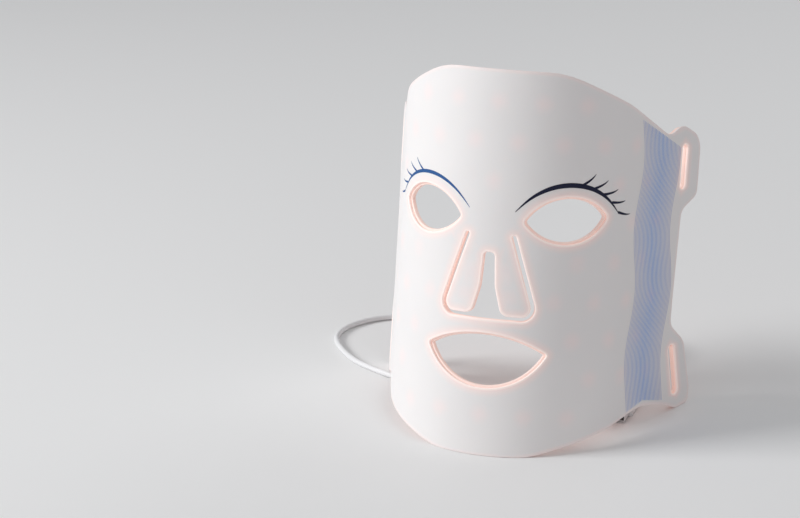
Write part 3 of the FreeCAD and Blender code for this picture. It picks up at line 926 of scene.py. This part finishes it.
# flat ribbons through places (s, t, half width), as a bmesh in the flat pattern
def ribbons(strokes, lift):
    curve = bpy.data.curves.new("ribbons", "CURVE")
    curve.dimensions = "3D"
    curve.twist_mode = "Z_UP"
    curve.extrude = 1.0
    for stroke in strokes:
        spline = curve.splines.new("NURBS")
        spline.points.add(len(stroke) - 1)
        for point, (s, t, half) in zip(spline.points, stroke):
            point.co = (s, t, lift, 1)
            point.radius = half
            point.tilt = math.pi / 2
        spline.order_u = 4
        spline.use_endpoint_u = True
        spline.resolution_u = inkLook["steps"]
    holder = bpy.data.objects.new("ribbons", curve)
    mesh = bpy.data.meshes.new_from_object(holder)
    bpy.data.objects.remove(holder)
    bm = bmesh.new()
    bm.from_mesh(mesh)
    bpy.data.meshes.remove(mesh)
    bm.normal_update()
    bmesh.ops.reverse_faces(bm, faces=[face for face in bm.faces if face.normal.z < 0])
    return bm


# an ink between deep and pale, as the tone stored on the strokes says
def makePrint(name, deep, pale):
    material, tree, shader = newMaterial(name, {"Specular IOR Level": inkLook["specular"]})
    low, high = inkLook["roughness"]
    grain = placeGroup(tree, mouldGrain, Scale=inkLook["grain"], Low=low, High=high)
    tone = addNode(tree, "ShaderNodeAttribute", attribute_name="tone")
    tree.links.new(mixColours(tree, tone.outputs["Fac"], deep, pale), shader.inputs["Base Color"])
    tree.links.new(grain.outputs["Roughness"], shader.inputs["Roughness"])
    addBump(tree, shader, grain.outputs["Height"], inkLook["bump"])
    return material


# height of a chain of corners over one place of the pattern
def edgeHeight(corners, s):
    for (s0, t0), (s1, t1) in zip(corners, corners[1:]):
        if s <= s1:
            break
    return t0 + (t1 - t0) * (s - s0) / (s1 - s0)


# the middle line has the deepest blue and the outer ones the palest
def makeWaves():
    footStart = outline["waist"] + outline["footReach"] - outline["footWidth"]
    jawEnd = (footStart - outline["footSlope"], outline["jawEnd"])
    jaw = [(outline["chinFlat"], 0.0), outline["jaw"], jawEnd]
    temple = [(outline["browFlat"], outline["top"]), outline["brow"], outline["temple"]]
    strokes = []
    for index in range(waves["lines"]):
        place = waves["first"] - index * waves["pitch"]
        low = edgeHeight(jaw, place) + waves["margin"]
        high = edgeHeight(temple, place) - waves["margin"]
        stroke = []
        for step in range(waves["places"]):
            t = low + (high - low) * step / (waves["places"] - 1)
            s = place + waves["swing"] * math.sin(2 * math.pi * t / waves["length"])
            stroke.append((s, t, waves["halfWidth"]))
        strokes.append(stroke)
    bm = ribbons(strokes, waves["lift"])
    tone = bm.verts.layers.float.new("tone")
    perStroke = len(bm.verts) // len(strokes)
    for vert in bm.verts:
        vert[tone] = abs(2 * (vert.index // perStroke) / (len(strokes) - 1) - 1)
    bend(bm)
    addPiece("flankWaves", bm, makePrint("waveInk", waves["deep"], waves["pale"]))


def makeLids():
    ink = makePrint("lidInk", lashes["right"], lashes["left"])
    left, right, top = (Vector((*eye[key], 0)) for key in ("left", "right", "top"))
    centre, radius = circleThrough(left, top, right)
    radius += lashes["gap"]

    def around(degrees, out):
        angle = math.radians(degrees)
        return centre.x + (radius + out) * math.cos(angle), centre.y + (radius + out) * math.sin(angle)

    start, end = lashes["lid"]
    lid = []
    for place in range(lashes["lidPlaces"]):
        step = place / (lashes["lidPlaces"] - 1)
        width = lashes["lidEnd"] + (1 - lashes["lidEnd"]) * math.sin(math.pi * step)
        lid.append((*around(start + (end - start) * step, 0), lashes["lidHalf"] * width))
    strokes = [lid]
    for index in range(lashes["count"]):
        angle = lashes["first"] + (lashes["last"] - lashes["first"]) * index / (lashes["count"] - 1)
        stroke = []
        for share, half in lashes["taper"]:
            bow = lashes["lean"] * share * (1 - share / 2)
            stroke.append((*around(angle - bow, lashes["length"] * share), lashes["lashHalf"] * half))
        strokes.append(stroke)
    for side, sign, share in (("right", 1, 1.0), ("left", -1, lashes["leftShare"])):
        placed = [[(sign * s, t, half * share) for s, t, half in stroke] for stroke in strokes]
        bm = ribbons(placed, lashes["lift"])
        tone = bm.verts.layers.float.new("tone")
        for vert in bm.verts:
            vert[tone] = 0.0 if sign > 0 else 1.0
        bend(bm)
        addPiece(f"{side}Lid", bm, ink)


makeWaves()
makeLids()
print("prints ready")

# terminal housing on the left flank's face side, in the flat pattern; heights go down from it
housing = {
    "middle": (-98.5, 39.0),
    "size": (16.0, 26.0),
    "corner": 3.0,
    "base": 5.6,
    "baseEdge": 0.25,
    "lid": 1.5,
    "lidEdge": 0.6,
    "lidRim": 1.6,
    "recessSlope": 0.4,
    "recess": 0.5,
    "seam": 0.5,
}


# a block between two heights with round corners, its upper and lower edges eased
def roundedBlock(size, low, high, corner, edge):
    bm = bmesh.new()
    bmesh.ops.create_cube(bm, size=1.0)
    bmesh.ops.scale(bm, verts=bm.verts, vec=(*size, high - low))
    bmesh.ops.translate(bm, verts=bm.verts, vec=(0, 0, (low + high) / 2))
    upright = [item for item in bm.edges if abs(item.verts[0].co.z - item.verts[1].co.z) > 0.01]
    bmesh.ops.bevel(bm, geom=upright, offset=corner, segments=6, affect="EDGES", profile=0.5, material=-1)
    flat = [item for item in bm.edges if abs(item.verts[0].co.z - item.verts[1].co.z) < 0.001]
    flat = [item for item in flat if len({round(face.normal.z) for face in item.link_faces}) > 1]
    bmesh.ops.bevel(bm, geom=flat, offset=edge, segments=3, affect="EDGES", profile=0.5, material=-1)
    return bm


def makeHousing():
    faceSide = -sheet["whole"]
    seam = faceSide - housing["base"]
    half = housing["seam"] / 2
    blocks = {
        "housingBase": (seam + half, faceSide, housing["baseEdge"], "housing_base"),
        "housingLid": (seam - housing["lid"], seam - half, housing["lidEdge"], "housing_lid"),
    }
    for name, (low, high, edge, node) in blocks.items():
        bm = roundedBlock(housing["size"], low, high, housing["corner"], edge)
        if name == "housingLid":
            outside = [face for face in bm.faces if face.normal.z < -0.99]
            top = [max(outside, key=lambda face: face.calc_area())]
            bmesh.ops.inset_region(bm, faces=top, thickness=housing["lidRim"], depth=0.0)
            slope, recess = housing["recessSlope"], housing["recess"]
            bmesh.ops.inset_region(bm, faces=top, thickness=slope, depth=-recess)
        bmesh.ops.translate(bm, verts=bm.verts, vec=(*housing["middle"], 0))
        bend(bm)
        evenShading(addPiece(name, bm, housingPlastic, "mask", [node]))


# an outline of (along, radius) in millimetres, spun about the axis from start towards end
def turned(profile, start, end, sides):
    bm = bmesh.new()
    verts = [bm.verts.new((radius, 0, along)) for along, radius in profile]
    edges = [bm.edges.new(pair) for pair in zip(verts, verts[1:])]
    bmesh.ops.spin(
        bm,
        geom=verts + edges,
        cent=(0, 0, 0),
        axis=(0, 0, 1),
        angle=2 * math.pi,
        steps=sides,
        use_merge=True,
    )
    bmesh.ops.remove_doubles(bm, verts=bm.verts, dist=0.001)
    bmesh.ops.recalc_face_normals(bm, faces=bm.faces)
    start, end = Vector(start), Vector(end)
    turn = Vector((0, 0, 1)).rotation_difference(end - start).to_matrix().to_4x4()
    bmesh.ops.transform(bm, matrix=Matrix.Scale(mm, 4) @ Matrix.Translation(start) @ turn, verts=bm.verts)
    return bm


# a taper with flexing grooves, thick at its root; grooveShape is a share of each step and its depth
relief = {
    "length": 12.0,
    "root": 2.7,
    "tip": 2.2,
    "tipEdge": 0.3,
    "grooves": 4,
    "groove": 0.35,
    "grooveStart": 0.8,
    "plainEnds": 2.0,
    "grooveShape": [(0.35, 0), (0.45, 1), (0.75, 1), (0.85, 0)],
    "sink": 1.2,
    "sides": 24,
}


def taperProfile():
    length, tip, edge = relief["length"], relief["tip"], relief["tipEdge"]
    profile = [(-relief["sink"], 0.0), (-relief["sink"], relief["root"]), (0.0, relief["root"])]
    step = (length - relief["plainEnds"]) / relief["grooves"]
    for index in range(relief["grooves"]):
        for share, depth in relief["grooveShape"]:
            along = relief["grooveStart"] + (index + share) * step
            radius = relief["root"] + (tip - relief["root"]) * along / length
            profile.append((along, radius - depth * relief["groove"]))
    return profile + [(length - edge, tip), (length, tip - edge), (length, 0.0)]


def makeRelief():
    tip = Vector(cord["start"][0])
    root = tip - (Vector(cord["start"][1]) - tip).normalized() * relief["length"]
    bm = turned(taperProfile(), root, tip, relief["sides"])
    evenShading(addPiece("strainRelief", bm, cordJacket, "mask", ["strain_relief"]))


makeHousing()
makeRelief()
print("housing and strain relief ready")

# the nodes that keep their own shape
finishes = {
    "terminal_board": boardLaminate,
    "driver_chip": chipPlastic,
    "lead_pins": contactMetal,
    "plug_contacts": contactMetal,
    "plug_shell": shellSteel,
    "plug_tongue": chipPlastic,
    "plug_body": housingPlastic,
    "plug_boot": cordJacket,
}
for name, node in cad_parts.items():
    finish = finishes.get(name)
    if "_row_" in name or name.endswith("_emitters"):
        finish = emitterPlastic
    elif name.endswith("_circuit"):
        finish = circuitFilm
    if finish:
        node.data.materials.clear()
        node.data.materials.append(finish)
print("finishes on the nodes")

floorLook = {"half": 3.0, "drop": 0.0002, "colour": (0.91, 0.91, 0.91), "roughness": 0.6}
bm = bmesh.new()
bmesh.ops.create_grid(bm, x_segments=1, y_segments=1, size=floorLook["half"])
floorMesh = bpy.data.meshes.new("floor")
bm.to_mesh(floorMesh)
bm.free()
floorPaint, _, floorShader = newMaterial("floorPaint", {"Roughness": floorLook["roughness"]})
floorShader.inputs["Base Color"].default_value = (*floorLook["colour"], 1)
floorMesh.materials.append(floorPaint)
floor = bpy.data.objects.new("floor", floorMesh)
bpy.context.scene.collection.objects.link(floor)
floor.location.z = -floorLook["drop"]

# the camera's turn and height round its target in degrees, and how far beside the target it aims
shot = {
    "target": (0, 0.0013, 0.105),
    "azimuth": 16.43,
    "elevation": 18.14,
    "distance": 1.371,
    "aimLeft": 0.0656,
    "aimDown": 0.0123,
    "lens": 108.0,
    "sensor": 36.0,
}
azimuth, elevation = math.radians(shot["azimuth"]), math.radians(shot["elevation"])
across = Vector((math.cos(azimuth), math.sin(azimuth), 0))
towards = Vector((math.sin(azimuth), -math.cos(azimuth), 0)) * math.cos(elevation)
towards.z = math.sin(elevation)
camera = bpy.data.objects.new("camera", bpy.data.cameras.new("camera"))
bpy.context.scene.collection.objects.link(camera)
camera.location = Vector(shot["target"]) + towards * shot["distance"]
aim = Vector(shot["target"]) - across * shot["aimLeft"] - towards.cross(across) * shot["aimDown"]
camera.rotation_euler = (aim - camera.location).to_track_quat("-Z", "Y").to_euler()
camera.data.sensor_width = shot["sensor"]
camera.data.lens = shot["lens"]
bpy.context.scene.camera = camera

# each lamp looks at this point
lampTarget = Vector((0, 0, 0.1))
lamps = {
    "keyLamp": {"at": (-2.15, -1.0, 1.3), "size": 0.95, "power": 17.0, "spread": 110.0},
    "fillLamp": {"at": (0.9, -1.5, 0.8), "size": 1.4, "power": 2.2, "spread": 180.0},
    "backLamp": {"at": (0.5, 1.4, 1.1), "size": 1.0, "power": 3.0, "spread": 180.0},
}
for name, lamp in lamps.items():
    light = bpy.data.lights.new(name, "AREA")
    light.size = lamp["size"]
    light.energy = lamp["power"]
    light.spread = math.radians(lamp["spread"])
    holder = bpy.data.objects.new(name, light)
    bpy.context.scene.collection.objects.link(holder)
    holder.location = lamp["at"]
    holder.rotation_euler = (lampTarget - holder.location).to_track_quat("-Z", "Y").to_euler()

studio = {"colour": (0.92, 0.93, 0.95), "strength": 0.4}
world = bpy.data.worlds.new("studio")
world.use_nodes = True
background = world.node_tree.nodes["Background"]
background.inputs["Color"].default_value = (*studio["colour"], 1)
background.inputs["Strength"].default_value = studio["strength"]
bpy.context.scene.world = world
bpy.context.scene.view_settings.view_transform = "Standard"
print("camera and lamps ready")
